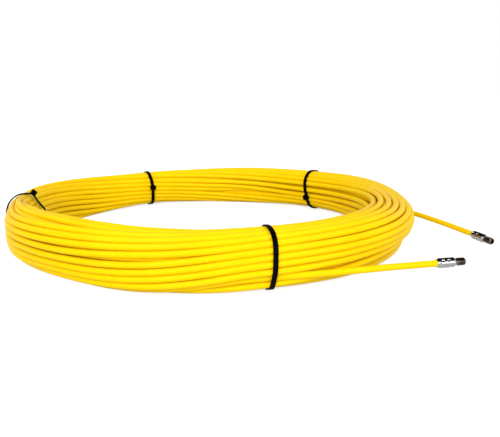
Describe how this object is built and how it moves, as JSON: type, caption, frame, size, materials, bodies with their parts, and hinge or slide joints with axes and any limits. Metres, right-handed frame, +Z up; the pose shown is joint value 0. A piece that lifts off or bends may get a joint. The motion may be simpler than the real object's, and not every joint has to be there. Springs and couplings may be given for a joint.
{
  "type": "duct rod coil",
  "caption": "Tied coil of springy jacketed glass-fibre duct rod, laid flat, with a crimped threaded fitting on each free end.",
  "frame": {"origin": "On the ground, on the coil's vertical axis.", "axes": "+Z up along the coil's axis, +X to the side that both free ends point to, -Y to the side of the front tie."},
  "size_m": [0.443, 0.372, 0.0481],
  "materials": {
    "jacket": "extruded yellow polyethylene jacket, smooth and slightly glossy",
    "glass_fibre": "bare pultruded glass-fibre core, cut square",
    "plated_steel": "bright nickel-plated steel with crimp dimples",
    "dark_steel": "nickel-plated steel thread, darker in its grooves",
    "nylon": "black moulded nylon with a soft sheen"
  },
  "bodies": {
    "coil": {"rod_coil": "jacket", "rod_lead_front": "jacket", "rod_lead_back": "jacket", "core_front": "glass_fibre", "core_back": "glass_fibre", "ferrule_front": "plated_steel", "ferrule_back": "plated_steel", "stud_front": "dark_steel", "stud_back": "dark_steel", "tie_front": "nylon", "tie_back_left": "nylon", "tie_back_right": "nylon"},
    "loose_tie": {"tie_left": "nylon"}
  },
  "joints": [
    {"name": "loose_tie_slide", "type": "hinge", "parent": "coil", "child": "loose_tie", "pos_m": [0, 0, 0.02], "axis": [0, 0, 1], "range_deg": [-60, 5]}
  ]
}
